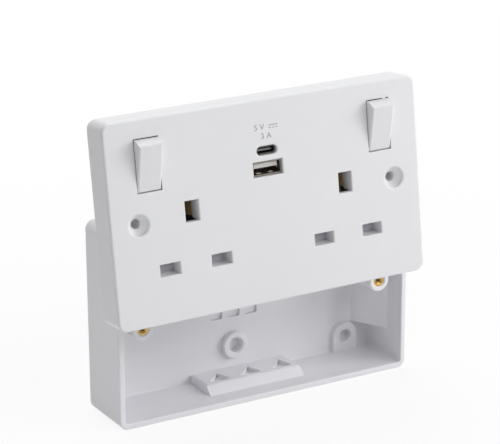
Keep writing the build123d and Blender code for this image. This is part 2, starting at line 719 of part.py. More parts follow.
# Base moulding: an open T-shaped tray with tubes, keepers and pedestals for the metal parts
with BuildPart() as rear_base:
    extrude(base_outline(0, BASE_FRONT), amount=BASE_FRONT - BASE_REAR)
    extrude(base_outline(BASE_WALL, BASE_FRONT), amount=BASE_FRONT - FLOOR_DEPTH, mode=Mode.SUBTRACT)
    with BuildSketch(layer(POST_END)):
        with Locations(*POSTS):
            Circle(POST_R)
    extrude(amount=POST_END - BASE_REAR)
    with BuildSketch(layer(PIVOT_DEPTH + TRUNNION_R + TRUNNION_PLAY)):
        for side in SIDES.values():
            for end in (-1, 1):
                middle = side * ROCKER_OUT + end * (ROCKER_OPEN_W / 2 + TRUNNION_PLAY + KEEPER_T / 2)
                with Locations((middle, ROCKER_V)):
                    Rectangle(KEEPER_T, KEEPER_H)
    extrude(amount=PIVOT_DEPTH + TRUNNION_R + TRUNNION_PLAY - BASE_REAR)
    pedestals = {
        STRIP_DEPTH + STRIP_T: [
            (-LIVE_RUN_U, LIVE_PEDESTAL_V),
            (LIVE_RUN_U, LIVE_PEDESTAL_V),
            (-LIVE_RUN_U, LIVE_TURN_V),
            (LIVE_RUN_U, LIVE_TURN_V),
            (LIVE_CLIP_U["left"], PIN_ROW_V),
            (LIVE_CLIP_U["right"], PIN_ROW_V),
            (NEUTRAL_CLIPS_U[0], PIN_ROW_V),
            (NEUTRAL_CLIPS_U[1], PIN_ROW_V),
            (-NEUTRAL_PEDESTAL_U, NEUTRAL_V),
            (NEUTRAL_PEDESTAL_U, NEUTRAL_V),
        ],
        EARTH_DEPTH + STRIP_T: [(-SOCKET_OUT, EARTH_V), (SOCKET_OUT, EARTH_V)],
        SWITCH_DEPTH + STRIP_T: [(-ROCKER_OUT, ROCKER_V), (ROCKER_OUT, ROCKER_V)],
    }
    for depth, places in pedestals.items():
        with BuildSketch(layer(depth)):
            with Locations(*places):
                Rectangle(PEDESTAL, PEDESTAL)
        extrude(amount=depth - BASE_REAR)
    with BuildSketch(layer(BOARD_BACK)):
        with Locations(
            (-BOARD_W / 2 + BOARD_POST_IN, BOARD_V + BOARD_H / 2 - BOARD_POST_IN),
            (BOARD_W / 2 - BOARD_POST_IN, BOARD_V + BOARD_H / 2 - BOARD_POST_IN),
            (0, BOARD_V - BOARD_H / 2 + BOARD_POST_LOW),
        ):
            Circle(BOARD_POST_R)
    extrude(amount=BOARD_BACK - BASE_REAR)
    with BuildSketch(layer(BASE_REAR)):
        with Locations(*POSTS):
            Circle(BASE_SCREW_R + SCREW_PLAY)
    extrude(amount=BASE_REAR - POST_END, mode=Mode.SUBTRACT)
    with BuildSketch(layer(BASE_REAR)):
        with Locations(*POSTS):
            Circle(BASE_SCREW_HEAD_R + SCREW_PLAY)
    extrude(amount=BASE_SCREW_HEAD + BASE_SCREW_SINK, mode=Mode.SUBTRACT)
    with BuildSketch(layer(BASE_REAR)):
        for u, v, start in TERMINALS.values():
            with Locations((u, v)):
                Circle(TERMINAL_SCREW_R + 4 * SCREW_PLAY)
        with Locations((0, EARTH_V - EARTH_ENTRY_DROP)):
            Rectangle(TERMINAL_W, 2 * WIRE_HOLE_R)
    extrude(amount=BASE_FLOOR, mode=Mode.SUBTRACT)
    for pole, end in (("live", 1), ("neutral", -1)):
        u, v, start = TERMINALS[pole]
        entry = at(u, end * BASE_H / 2, start + WIRE_HOLE_BACK)
        with BuildSketch(Plane(origin=entry, x_dir=FACE.x_dir, z_dir=FACE.y_dir)):
            Circle(WIRE_HOLE_R + SCREW_PLAY)
        extrude(amount=-end * BASE_WALL, mode=Mode.SUBTRACT)
save(rear_base.part, "rear_base")

# Screws that hold the base to the plate
with BuildPart() as base_screws:
    head_depth = BASE_REAR - BASE_SCREW_SINK
    with BuildSketch(layer(head_depth)):
        with Locations(*POSTS):
            Circle(BASE_SCREW_HEAD_R)
    extrude(amount=BASE_SCREW_HEAD)
    with BuildSketch(layer(head_depth - BASE_SCREW_HEAD)):
        with Locations(*POSTS):
            Circle(BASE_SCREW_R)
    extrude(amount=BASE_SCREW_LENGTH)
    with BuildSketch(layer(head_depth)):
        with Locations(*POSTS):
            Rectangle(2 * BASE_SCREW_R, DRIVE_W)
            Rectangle(DRIVE_W, 2 * BASE_SCREW_R)
    extrude(amount=DRIVE_DEEP, mode=Mode.SUBTRACT)
save(base_screws.part, "base_screws")

# Live bar: feeds both fulcrums and the charging board
with BuildPart() as live_bar:
    live_low = LIVE_V - LIVE_H / 2
    live_high = LIVE_V + LIVE_H / 2
    leg_out = LEG_OUT + LEG_W / 2
    tab_low = ROCKER_V - PEDESTAL / 2
    tab_high = ROCKER_V + PEDESTAL / 2
    extrude(patch(-leg_out, leg_out, live_low, live_high, SWITCH_DEPTH), amount=-STRIP_T)
    board_top = BOARD_V + BOARD_H / 2
    extrude(
        patch(BOARD_TAB_U - STRIP_W / 2, BOARD_TAB_U + STRIP_W / 2, board_top - BOARD_TAB_LAP, live_low, SWITCH_DEPTH),
        amount=-STRIP_T,
    )
    for side in SIDES.values():
        inner_leg = side * (LEG_OUT - LEG_W / 2)
        extrude(patch(inner_leg, side * leg_out, tab_low, live_low, SWITCH_DEPTH), amount=-STRIP_T)
        tab_end = side * (ROCKER_OUT - CONTACT_W / 2)
        extrude(patch(tab_end, inner_leg, tab_low, tab_high, SWITCH_DEPTH), amount=-STRIP_T)
        ridge = at(side * ROCKER_OUT, ROCKER_V, SWITCH_DEPTH)
        with BuildSketch(section_at(ridge)):
            with BuildLine():
                Polyline((-FULCRUM_R, 0), (FULCRUM_R, 0), (0, FULCRUM_R), close=True)
            make_face()
        extrude(amount=CONTACT_W / 2, both=True)
save(live_bar.part, "live_bar")

# Switched live strips: from each fixed contact down to the live pin's clip
clip_inner = CLIP_GAP / 2
clip_outer = clip_inner + STRIP_T
for name, side in SIDES.items():
    clip_u = LIVE_CLIP_U[name]
    run_in = side * (LIVE_RUN_U - STRIP_W / 2)
    run_out = side * (LIVE_RUN_U + STRIP_W / 2)
    foot_low = PIN_ROW_V - clip_outer
    turn_low = LIVE_TURN_V - STRIP_W / 2
    turn_high = LIVE_TURN_V + STRIP_W / 2
    tab_in = side * (ROCKER_OUT - CONTACT_W / 2)
    tab_out = side * (ROCKER_OUT + CONTACT_W / 2)
    riser_low = FIXED_TAB_HIGH_V - STRIP_T
    with BuildPart() as live_strip:
        extrude(patch(run_in, run_out, turn_low, FIXED_TAB_HIGH_V, STRIP_DEPTH), amount=-STRIP_T)
        extrude(patch(run_out, clip_u, turn_low, turn_high, STRIP_DEPTH), amount=-STRIP_T)
        extrude(
            patch(clip_u - STRIP_W / 2, clip_u + STRIP_W / 2, foot_low, turn_high, STRIP_DEPTH),
            amount=-STRIP_T,
        )
        for end in (-1, 1):
            leaf = patch(
                clip_u - CLIP_W / 2,
                clip_u + CLIP_W / 2,
                PIN_ROW_V + end * clip_inner,
                PIN_ROW_V + end * clip_outer,
                PIN_CLIP_MOUTH,
            )
            extrude(leaf, amount=PIN_CLIP_MOUTH - STRIP_DEPTH - STRIP_T)
        arm_low = FIXED_TAB_HIGH_V - FIXED_TAB_ARM
        extrude(patch(run_in, tab_out, arm_low, FIXED_TAB_HIGH_V, STRIP_DEPTH), amount=-STRIP_T)
        extrude(
            patch(tab_in, tab_out, riser_low, FIXED_TAB_HIGH_V, SWITCH_DEPTH),
            amount=SWITCH_DEPTH - STRIP_DEPTH - STRIP_T,
        )
        extrude(patch(tab_in, tab_out, FIXED_TAB_LOW_V, FIXED_TAB_HIGH_V, SWITCH_DEPTH), amount=-STRIP_T)
        with BuildSketch(layer(SWITCH_DEPTH)):
            with Locations((side * ROCKER_OUT, ROCKER_V + CONTACT_ARM - RIVET_R / 2)):
                Circle(RIVET_R)
        extrude(amount=SWITCH_DEPTH - FULCRUM_DEPTH - 3 * RIVET_GAP)
    save(live_strip.part, f"{name}_live_strip")

# Neutral bar: joins both neutral clips, the terminal and the charging board
with BuildPart() as neutral_bar:
    bar_low = NEUTRAL_V - STRIP_W / 2
    bar_high = NEUTRAL_V + STRIP_W / 2
    extrude(
        patch(NEUTRAL_CLIPS_U[0] - STRIP_W / 2, NEUTRAL_CLIPS_U[1] + STRIP_W / 2, bar_low, bar_high, STRIP_DEPTH),
        amount=-STRIP_T,
    )
    for clip_u in NEUTRAL_CLIPS_U:
        clip_left = clip_u - STRIP_W / 2
        extrude(patch(clip_left, clip_left + STRIP_W, bar_high, PIN_ROW_V + clip_outer, STRIP_DEPTH), amount=-STRIP_T)
        for end in (-1, 1):
            leaf = patch(
                clip_u - CLIP_W / 2,
                clip_u + CLIP_W / 2,
                PIN_ROW_V + end * clip_inner,
                PIN_ROW_V + end * clip_outer,
                PIN_CLIP_MOUTH,
            )
            extrude(leaf, amount=PIN_CLIP_MOUTH - STRIP_DEPTH - STRIP_T)
    riser_left = RISER_U - RISER_W / 2
    riser_top = BOARD_V - BOARD_H / 2 + 2 * STRIP_T
    extrude(patch(riser_left, riser_left + RISER_W, bar_high, riser_top, STRIP_DEPTH), amount=-STRIP_T)
    extrude(
        patch(riser_left, riser_left + RISER_W, riser_top - STRIP_T, riser_top, BOARD_BACK),
        amount=BOARD_BACK - STRIP_DEPTH - STRIP_T,
    )
    with BuildSketch(layer(STRIP_DEPTH)):
        with Locations(TERMINALS["neutral"][:2]):
            Circle(TERMINAL_SCREW_R + SCREW_PLAY)
    extrude(amount=-STRIP_T, mode=Mode.SUBTRACT)
save(neutral_bar.part, "neutral_bar")

# Earth bar: joins both earth clips and the terminal
with BuildPart() as earth_bar:
    earth_out = SOCKET_OUT + clip_outer
    earth_low = EARTH_V - EARTH_STRIP_H / 2
    earth_high = EARTH_V + EARTH_STRIP_H / 2
    extrude(patch(-earth_out, earth_out, earth_low, earth_high, EARTH_DEPTH), amount=-STRIP_T)
    mouth_inner = EARTH_CLIP_SPREAD / 2
    mouth_outer = mouth_inner + STRIP_T
    flare_end = EARTH_CLIP_MOUTH + EARTH_CLIP_FLARE
    with BuildSketch(Plane(origin=at(0, EARTH_V, 0), x_dir=FACE.x_dir, z_dir=FACE.y_dir)):
        for socket in SOCKETS:
            for end in (-1, 1):
                with BuildLine():
                    Polyline(
                        (socket + end * mouth_inner, EARTH_CLIP_MOUTH),
                        (socket + end * clip_inner, flare_end),
                        (socket + end * clip_inner, EARTH_DEPTH + STRIP_T),
                        (socket + end * clip_outer, EARTH_DEPTH + STRIP_T),
                        (socket + end * clip_outer, flare_end),
                        (socket + end * mouth_outer, EARTH_CLIP_MOUTH),
                        close=True,
                    )
                make_face()
    extrude(amount=CLIP_W / 2, both=True)
    with BuildSketch(layer(EARTH_DEPTH)):
        with Locations(TERMINALS["earth"][:2]):
            Circle(TERMINAL_SCREW_R + SCREW_PLAY)
    extrude(amount=-STRIP_T, mode=Mode.SUBTRACT)
save(earth_bar.part, "earth_bar")

# Terminals: a block for each pole, cross-drilled for its wire, and the screws that reach them from behind
for pole, (u, v, start) in TERMINALS.items():
    with BuildPart() as terminal:
        with BuildSketch(layer(start)):
            with Locations((u, v)):
                Rectangle(TERMINAL_W, TERMINAL_H)
        extrude(amount=-TERMINAL_DEPTH)
        middle = at(u, v, start + WIRE_HOLE_BACK)
        with BuildSketch(Plane(origin=middle, x_dir=FACE.x_dir, z_dir=FACE.y_dir)):
            Circle(WIRE_HOLE_R)
        extrude(amount=TERMINAL_H, both=True, mode=Mode.SUBTRACT)
        with BuildSketch(layer(start + WIRE_HOLE_BACK)):
            with Locations((u, v)):
                Circle(TERMINAL_SCREW_R + SCREW_PLAY)
        extrude(amount=-TERMINAL_DEPTH, mode=Mode.SUBTRACT)
    save(terminal.part, f"{pole}_terminal")
screw_end = BASE_REAR - TERMINAL_SCREW_SINK
with BuildPart() as terminal_screws:
    for u, v, start in TERMINALS.values():
        tip_depth = start + WIRE_HOLE_BACK + WIRE_HOLE_R
        with BuildSketch(layer(tip_depth)):
            with Locations((u, v)):
                Circle(TERMINAL_SCREW_R)
        extrude(amount=tip_depth - screw_end)
        with BuildSketch(layer(screw_end)):
            with Locations((u, v)):
                Rectangle(2 * TERMINAL_SCREW_R, DRIVE_W)
        extrude(amount=DRIVE_DEEP, mode=Mode.SUBTRACT)
save(terminal_screws.part, "terminal_screws")

# Charging module: board, ports and the larger parts on its back
with BuildPart() as usb_board:
    with BuildSketch(layer(BOARD_DEPTH)):
        with Locations((0, BOARD_V)):
            Rectangle(BOARD_W, BOARD_H)
    extrude(amount=-BOARD_T)
save(usb_board.part, "usb_board")

shell_length = BOARD_DEPTH - PORT_SINK
tongue_front = PORT_SINK + TONGUE_SINK
with BuildPart() as usb_a_shell:
    with BuildSketch(layer(PORT_SINK)):
        with Locations((0, USB_A_V)):
            RectangleRounded(USB_A_W, USB_A_H, 2 * SHELL_T)
            RectangleRounded(USB_A_W - 2 * SHELL_T, USB_A_H - 2 * SHELL_T, SHELL_T, mode=Mode.SUBTRACT)
    extrude(amount=-shell_length)
save(usb_a_shell.part, "usb_a_shell")
with BuildPart() as usb_a_tongue:
    with BuildSketch(layer(BOARD_DEPTH)):
        with Locations((0, USB_A_V)):
            Rectangle(USB_A_W - 3 * SHELL_T, USB_A_H - 3 * SHELL_T)
    extrude(amount=TONGUE_BLOCK)
    with BuildSketch(layer(tongue_front)):
        with Locations((0, USB_A_V + USB_A_TONGUE_UP)):
            Rectangle(USB_A_TONGUE_W, USB_A_TONGUE_H)
    extrude(amount=tongue_front - BOARD_DEPTH)
save(usb_a_tongue.part, "usb_a_tongue")
with BuildPart() as usb_c_shell:
    with BuildSketch(layer(PORT_SINK)):
        with Locations((0, USB_C_V)):
            SlotOverall(USB_C_W, USB_C_H)
            SlotOverall(USB_C_W - 2 * SHELL_T, USB_C_H - 2 * SHELL_T, mode=Mode.SUBTRACT)
    extrude(amount=-shell_length)
save(usb_c_shell.part, "usb_c_shell")
with BuildPart() as usb_c_tongue:
    with BuildSketch(layer(BOARD_DEPTH)):
        with Locations((0, USB_C_V)):
            SlotOverall(USB_C_W - 3 * SHELL_T, USB_C_H - 3 * SHELL_T)
    extrude(amount=TONGUE_BLOCK)
    with BuildSketch(layer(tongue_front)):
        with Locations((0, USB_C_V)):
            Rectangle(USB_C_TONGUE_W, USB_C_TONGUE_H)
    extrude(amount=tongue_front - BOARD_DEPTH)
save(usb_c_tongue.part, "usb_c_tongue")

with BuildPart() as usb_transformer:
    with BuildSketch(layer(BOARD_BACK)):
        with Locations((0, BOARD_V + BOARD_H / 2 - TRANSFORMER_H / 2 - TRANSFORMER_DROP)):
            RectangleRounded(TRANSFORMER_W, TRANSFORMER_H, TRANSFORMER_CORNER)
    extrude(amount=-TRANSFORMER_T)
save(usb_transformer.part, "usb_transformer")
with BuildPart() as usb_capacitors:
    with BuildSketch(layer(BOARD_BACK)):
        capacitor_v = BOARD_V - BOARD_H / 2 + CAPACITOR_RISE
        with Locations((-CAPACITOR_OUT, capacitor_v), (CAPACITOR_OUT, capacitor_v)):
            Circle(CAPACITOR_R)
    extrude(amount=-CAPACITOR_LENGTH)
save(usb_capacitors.part, "usb_capacitors")
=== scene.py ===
import json
import math

import bmesh
import bpy
from bpy.props import FloatProperty, FloatVectorProperty, IntProperty, PointerProperty
from mathutils import Matrix, Quaternion, Vector


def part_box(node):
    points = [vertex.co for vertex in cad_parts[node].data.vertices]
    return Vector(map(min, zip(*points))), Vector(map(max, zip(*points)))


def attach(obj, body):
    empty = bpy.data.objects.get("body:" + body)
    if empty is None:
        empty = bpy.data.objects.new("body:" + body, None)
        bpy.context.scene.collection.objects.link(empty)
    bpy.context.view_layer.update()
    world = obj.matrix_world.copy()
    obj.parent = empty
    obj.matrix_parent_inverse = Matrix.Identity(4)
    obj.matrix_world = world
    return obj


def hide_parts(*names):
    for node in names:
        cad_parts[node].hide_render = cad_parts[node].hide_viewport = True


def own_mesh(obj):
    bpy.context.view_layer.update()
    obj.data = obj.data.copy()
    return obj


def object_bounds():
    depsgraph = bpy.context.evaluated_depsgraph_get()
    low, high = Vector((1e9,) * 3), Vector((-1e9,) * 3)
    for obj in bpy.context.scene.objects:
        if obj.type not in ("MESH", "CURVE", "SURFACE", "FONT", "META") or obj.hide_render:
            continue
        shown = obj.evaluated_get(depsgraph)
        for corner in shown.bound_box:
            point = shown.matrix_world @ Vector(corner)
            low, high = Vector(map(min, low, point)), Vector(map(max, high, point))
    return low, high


bl_info = {
    "name": "Switched double socket finish",
    "version": (1, 0, 0),
    "blender": (4, 5, 0),
    "location": "View3D > Sidebar > Socket",
    "description": "Finishes, small fittings and a studio for a switched double socket and its surface box",
    "category": "Object",
}

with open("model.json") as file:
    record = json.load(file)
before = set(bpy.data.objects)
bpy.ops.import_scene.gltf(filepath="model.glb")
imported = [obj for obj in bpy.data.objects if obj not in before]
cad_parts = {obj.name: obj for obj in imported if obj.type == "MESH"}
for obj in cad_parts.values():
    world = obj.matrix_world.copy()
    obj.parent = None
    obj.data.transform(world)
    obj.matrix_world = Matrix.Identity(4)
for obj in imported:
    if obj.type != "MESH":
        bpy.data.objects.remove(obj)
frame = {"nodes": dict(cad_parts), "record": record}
CAD_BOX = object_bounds()
RECORD = frame["record"]
JOINTS = {joint["name"]: joint for joint in RECORD["behaviour"]["joints"]}
MOUNTS = {mount["name"]: mount for mount in RECORD["mounts"]}
MM = 0.001

# The plate's own axes: right and up along its face, and out of it
PLATE_RIGHT = Vector(JOINTS["left_rocker_hinge"]["axis"]).normalized()
PLATE_UP = -Vector(JOINTS["left_shutter_travel"]["axis"]).normalized()
PLATE_OUT = PLATE_RIGHT.cross(PLATE_UP)
FACE_LEVEL = max(PLATE_OUT.dot(vertex.co) for vertex in frame["nodes"]["faceplate"].data.vertices)
SCREW_MIDDLE = (
    Vector(MOUNTS["left_plate_screw_hole"]["pos_m"]) + Vector(MOUNTS["right_plate_screw_hole"]["pos_m"])
) / 2
PLATE_MIDDLE = SCREW_MIDDLE + PLATE_OUT * (FACE_LEVEL - PLATE_OUT.dot(SCREW_MIDDLE))

# Strips in the ports, in millimetres, under the input names of the tree that makes them
WIDE_CONTACT = {"Spacing": 2.4, "Width": 1.1, "Length": 7.4, "Height": 0.14}
SMALL_CONTACT = {"Spacing": 0.5, "Width": 0.26, "Length": 4.6, "Height": 0.06}
# The spring windows are dark strips: painted shade where the shell's openings show the dark inside
SPRING_WINDOW_SHADE = {"Spacing": 5.6, "Width": 3.0, "Length": 6.4, "Height": 0.06}
SPRING_TAB = {"Spacing": 5.6, "Width": 2.0, "Length": 5.2, "Height": 0.2}

# Where those strips lie, in millimetres from the port's middle, its wall and its front
WIDE_CONTACT_RISE = 0.15
WIDE_CONTACT_INSET = 0.9
SMALL_CONTACT_RISE = 0.36
SMALL_CONTACT_INSET = 1.1
SPRING_WALL = 0.4
SPRING_WINDOW_SHADE_INSET = 1.4
SPRING_TAB_INSET = 2.2

# Markings in millimetres: the sign from the small port's top, the letters from their terminals
VOLTS_RISE = 8.2
VOLTS_SHIFT = -3.0
AMPS_RISE = 4.4
CURRENT_SIGN_SHIFT = 3.6
CURRENT_SIGN_W = 4.2
CURRENT_BAR_RISE = 0.5
CURRENT_DASH_RISE = -0.6
CURRENT_DASH_W = 1.0
CURRENT_DASH_STEP = 1.6
CURRENT_STROKE = 0.32
INK_HALF = 0.02
INK_RISE = 0.01
LETTER_STEP = 7.0
LETTER_HALF = 0.25

# Height of a capital as a share of the font's size
CAPITAL_SHARE = 0.69

# Thread in the inserts, in millimetres
THREAD_R = 1.5
THREAD_START = 0.6
THREAD_TURNS = 13

# Vertices of a mesh that lie closer than this many millimetres are merged
LETTER_WELD = 0.0005
WIRE_WELD = 0.001

# Angles in degrees: the bend of the spring tabs, and the sharp edges of the wire
SPRING_TAB_BEND = -5.0
WIRE_SHADE_ANGLE = 65

# Grain of the mouldings and lines of the metals, their heights in metres
FINE_GRAIN = 1800.0
FAINT_MOTTLE = 0.03
GRAIN_HEIGHT = 0.00004
GRAIN_GLOSS_SPREAD = 0.12
LINE_HEIGHT = 0.00002
LINE_STRENGTH = 0.15
LINE_GLOSS_SPREAD = 0.25

# Studio in metres, with the camera fitted to the photograph's outlines
FLOOR_HALF = 3.0
FLOOR_GAP = 0.0002
LAMP_TARGET = Vector((0.0, -0.04, 0.03))
CAMERA_PLACE = Vector((-0.42256, -0.73804, 0.30274))
CAMERA_LOOK = Vector((0.48021, 0.82241, -0.30499))
CAMERA_ROLL = math.radians(-0.23)


class SocketFinish(bpy.types.PropertyGroup):
    """Colours and grain of the socket's surfaces."""

    plate_colour: FloatVectorProperty(
        name="Plate", description="Moulded white of the plate", subtype="COLOR",
        default=(0.81, 0.81, 0.824), min=0, max=1)
    rocker_colour: FloatVectorProperty(
        name="Rockers", description="Moulded white of the rockers", subtype="COLOR",
        default=(0.78, 0.777, 0.798), min=0, max=1)
    box_colour: FloatVectorProperty(
        name="Box", description="Moulded white of the surface box", subtype="COLOR",
        default=(0.86, 0.857, 0.886), min=0, max=1)
    base_colour: FloatVectorProperty(
        name="Base", description="Moulded grey of the base behind the plate", subtype="COLOR",
        default=(0.30, 0.29, 0.27), min=0, max=1)
    shutter_colour: FloatVectorProperty(
        name="Shutters", description="Moulded grey of the shutters", subtype="COLOR",
        default=(0.66, 0.65, 0.70), min=0, max=1)
    brass_colour: FloatVectorProperty(
        name="Brass", description="Bare brass of the inserts and terminals", subtype="COLOR",
        default=(0.60, 0.42, 0.16), min=0, max=1)
    shell_colour: FloatVectorProperty(
        name="Port shell", description="Plated steel of the wide port", subtype="COLOR",
        default=(0.30, 0.27, 0.23), min=0, max=1)
    print_colour: FloatVectorProperty(
        name="Print", description="Ink of the small sign above the ports", subtype="COLOR",
        default=(0.30, 0.30, 0.33), min=0, max=1)
    grain: FloatProperty(
        name="Grain", description="Strength of the moulded grain", subtype="FACTOR",
        default=0.06, min=0, max=1)


class SocketFittings(bpy.types.PropertyGroup):
    """Sizes of the small fittings."""

    thread_pitch: FloatProperty(
        name="Thread pitch", description="Distance between the turns in an insert", unit="LENGTH",
        default=0.0006, min=0.0002)
    thread_depth: FloatProperty(
        name="Thread depth", description="Height of a turn above the bore's wall", unit="LENGTH",
        default=0.00028, min=0.00005)
    contacts_a: IntProperty(
        name="Contacts, wide port", description="Contact strips on the wide port's tongue",
        default=4, min=1)
    contacts_c: IntProperty(
        name="Contacts, small port", description="Contact strips on each side of the small port's tongue",
        default=12, min=1)
    sign_height: FloatProperty(
        name="Sign height", description="Height of the characters above the ports", unit="LENGTH",
        default=0.0024, min=0.001)
    letter_height: FloatProperty(
        name="Letter height", description="Height of the raised terminal letters on the base",
        unit="LENGTH", default=0.004, min=0.001)


class SocketStudio(bpy.types.PropertyGroup):
    """Light and camera of the studio."""

    key: FloatProperty(
        name="Key", description="Power of the large light on the right", unit="POWER",
        default=14.2, min=0)
    fill: FloatProperty(
        name="Fill", description="Power of the large light on the left", unit="POWER",
        default=1.9, min=0)
    top: FloatProperty(
        name="Top", description="Power of the high front light", unit="POWER",
        default=4.6, min=0)
    back: FloatProperty(
        name="Back", description="Power of the high light behind the part", unit="POWER",
        default=10.0, min=0)
    ambient: FloatProperty(
        name="Ambient", description="Strength of the light from all round", subtype="FACTOR",
        default=0.13, min=0, max=2)
    lens: FloatProperty(
        name="Lens", description="Focal length on a 36 mm wide sensor", unit="CAMERA",
        default=144.0, min=10)


def plate_matrix(right, up, out, turned=Matrix.Identity(4)):
    """Places a mesh made in millimetres on the plate, turned first about its own middle."""
    axes = Matrix((PLATE_RIGHT, PLATE_UP, PLATE_OUT)).transposed().to_4x4()
    place = PLATE_MIDDLE + (PLATE_RIGHT * right + PLATE_UP * up + PLATE_OUT * out) * MM
    return Matrix.Translation(place) @ axes @ turned @ Matrix.Scale(MM, 4)


def plate_box(node):
    """A node's lowest and highest corner along the plate's axes, in millimetres from the face's middle."""
    axes = (PLATE_RIGHT, PLATE_UP, PLATE_OUT)
    offsets = [vertex.co - PLATE_MIDDLE for vertex in frame["nodes"][node].data.vertices]
    reach = [[axis.dot(offset) / MM for offset in offsets] for axis in axes]
    return Vector([min(along) for along in reach]), Vector([max(along) for along in reach])


def node_of(tree, kind, **inputs):
    """Adds a node and sets the named inputs."""
    node = tree.nodes.new(kind)
    for name, value in inputs.items():
        node.inputs[name.replace("_", " ")].default_value = value
    return node


def math_of(tree, operation, *inputs):
    """Adds a maths node, with each input linked to a socket or set to a number."""
    node = tree.nodes.new("ShaderNodeMath")
    node.operation = operation
    for place, value in zip(node.inputs, inputs):
        if isinstance(value, bpy.types.NodeSocket):
            tree.links.new(value, place)
        else:
            place.default_value = value
    return node.outputs[0]


def vector_of(tree, **parts):
    """Adds a vector whose named parts come from sockets."""
    node = tree.nodes.new("ShaderNodeCombineXYZ")
    for axis, socket in parts.items():
        tree.links.new(socket, node.inputs[axis])
    return node.outputs[0]


def new_group(name, inputs, outputs):
    """An empty shader node group with named sockets."""
    group = bpy.data.node_groups.new(name, "ShaderNodeTree")
    for label, kind, value in inputs:
        socket = group.interface.new_socket(label, in_out="INPUT", socket_type=kind)
        socket.default_value = value
    for label, kind in outputs:
        group.interface.new_socket(label, in_out="OUTPUT", socket_type=kind)
    return group, group.nodes.new("NodeGroupInput"), group.nodes.new("NodeGroupOutput")


SURFACE_OUTPUTS = [
    ("Colour", "NodeSocketColor"),
    ("Roughness", "NodeSocketFloat"),
    ("Height", "NodeSocketFloat"),
]


def moulded_group():
    """Fine moulded grain: a faint mottle in the colour, uneven gloss and a small height."""
    group = bpy.data.node_groups.get("Moulded grain")
    if group:
        return group
    inputs = [
        ("Colour", "NodeSocketColor", (0.8, 0.8, 0.8, 1)),
        ("Mottle", "NodeSocketFloat", FAINT_MOTTLE),
        ("Roughness", "NodeSocketFloat", 0.4),
        ("Grain size", "NodeSocketFloat", FINE_GRAIN),
    ]
    group, given, result = new_group("Moulded grain", inputs, SURFACE_OUTPUTS)
    links = group.links
    place = group.nodes.new("ShaderNodeTexCoord")
    mottle = node_of(group, "ShaderNodeTexNoise", Scale=28.0, Detail=3.0, Roughness=0.55)
    links.new(place.outputs["Object"], mottle.inputs["Vector"])
    grain = node_of(group, "ShaderNodeTexNoise", Detail=2.0, Roughness=0.6)
    links.new(place.outputs["Object"], grain.inputs["Vector"])
    links.new(given.outputs["Grain size"], grain.inputs["Scale"])
    centred = math_of(group, "SUBTRACT", mottle.outputs["Fac"], 0.5)
    tint = group.nodes.new("ShaderNodeVectorMath")
    tint.operation = "SCALE"
    links.new(given.outputs["Colour"], tint.inputs[0])
    links.new(math_of(group, "MULTIPLY_ADD", centred, given.outputs["Mottle"], 1.0), tint.inputs["Scale"])
    gloss = math_of(group, "MULTIPLY_ADD", centred, GRAIN_GLOSS_SPREAD, given.outputs["Roughness"])
    links.new(tint.outputs[0], result.inputs["Colour"])
    links.new(gloss, result.inputs["Roughness"])
    links.new(grain.outputs["Fac"], result.inputs["Height"])
    return group


def metal_group():
    """Drawn metal: fine lines along X, patches of tarnish and uneven gloss."""
    group = bpy.data.node_groups.get("Drawn metal")
    if group:
        return group
    inputs = [
        ("Colour", "NodeSocketColor", (0.6, 0.5, 0.3, 1)),
        ("Tarnish", "NodeSocketColor", (0.2, 0.12, 0.05, 1)),
        ("Amount", "NodeSocketFloat", 0.35),
        ("Roughness", "NodeSocketFloat", 0.3),
    ]
    group, given, result = new_group("Drawn metal", inputs, SURFACE_OUTPUTS)
    links = group.links
    place = group.nodes.new("ShaderNodeTexCoord")
    stretch = node_of(group, "ShaderNodeMapping", Scale=(120.0, 2600.0, 2600.0))
    links.new(place.outputs["Object"], stretch.inputs["Vector"])
    lines = node_of(group, "ShaderNodeTexNoise", Scale=1.0, Detail=2.0)
    links.new(stretch.outputs[0], lines.inputs["Vector"])
    patches = node_of(group, "ShaderNodeTexNoise", Scale=420.0, Detail=3.0)
    links.new(place.outputs["Object"], patches.inputs["Vector"])
    mask = node_of(group, "ShaderNodeMapRange", From_Min=0.45, From_Max=0.75)
    links.new(patches.outputs["Fac"], mask.inputs["Value"])
    links.new(given.outputs["Amount"], mask.inputs["To Max"])
    blend = group.nodes.new("ShaderNodeMix")
    blend.data_type = "RGBA"
    links.new(mask.outputs["Result"], blend.inputs["Factor"])
    links.new(given.outputs["Colour"], blend.inputs["A"])
    links.new(given.outputs["Tarnish"], blend.inputs["B"])
    colour_out = [socket for socket in blend.outputs if socket.type == "RGBA"][0]
    roughness = given.outputs["Roughness"]
    gloss = math_of(group, "MULTIPLY_ADD", lines.outputs["Fac"], LINE_GLOSS_SPREAD, roughness)
    links.new(colour_out, result.inputs["Colour"])
    links.new(gloss, result.inputs["Roughness"])
    links.new(lines.outputs["Fac"], result.inputs["Height"])
    return group


def surface(name, group, values, bump, distance, metallic=0.0):
    """A material that takes its colour, gloss and height from one of the groups."""
    material = bpy.data.materials.new(name)
    material.use_nodes = True
    tree = material.node_tree
    shader = tree.nodes["Principled BSDF"]
    shader.inputs["Metallic"].default_value = metallic
    effect = tree.nodes.new("ShaderNodeGroup")
    effect.node_tree = group
    for label, value in values.items():
        effect.inputs[label].default_value = value
    relief = node_of(tree, "ShaderNodeBump", Strength=bump, Distance=distance)
    tree.links.new(effect.outputs["Colour"], shader.inputs["Base Color"])
    tree.links.new(effect.outputs["Roughness"], shader.inputs["Roughness"])
    tree.links.new(effect.outputs["Height"], relief.inputs["Height"])
    tree.links.new(relief.outputs["Normal"], shader.inputs["Normal"])
    return material


def moulded(name, colour, roughness, grain, size=FINE_GRAIN, mottle=FAINT_MOTTLE):
    """Moulded plastic."""
    values = {"Colour": (*colour, 1), "Mottle": mottle, "Roughness": roughness, "Grain size": size}
    return surface(name, moulded_group(), values, grain, GRAIN_HEIGHT)


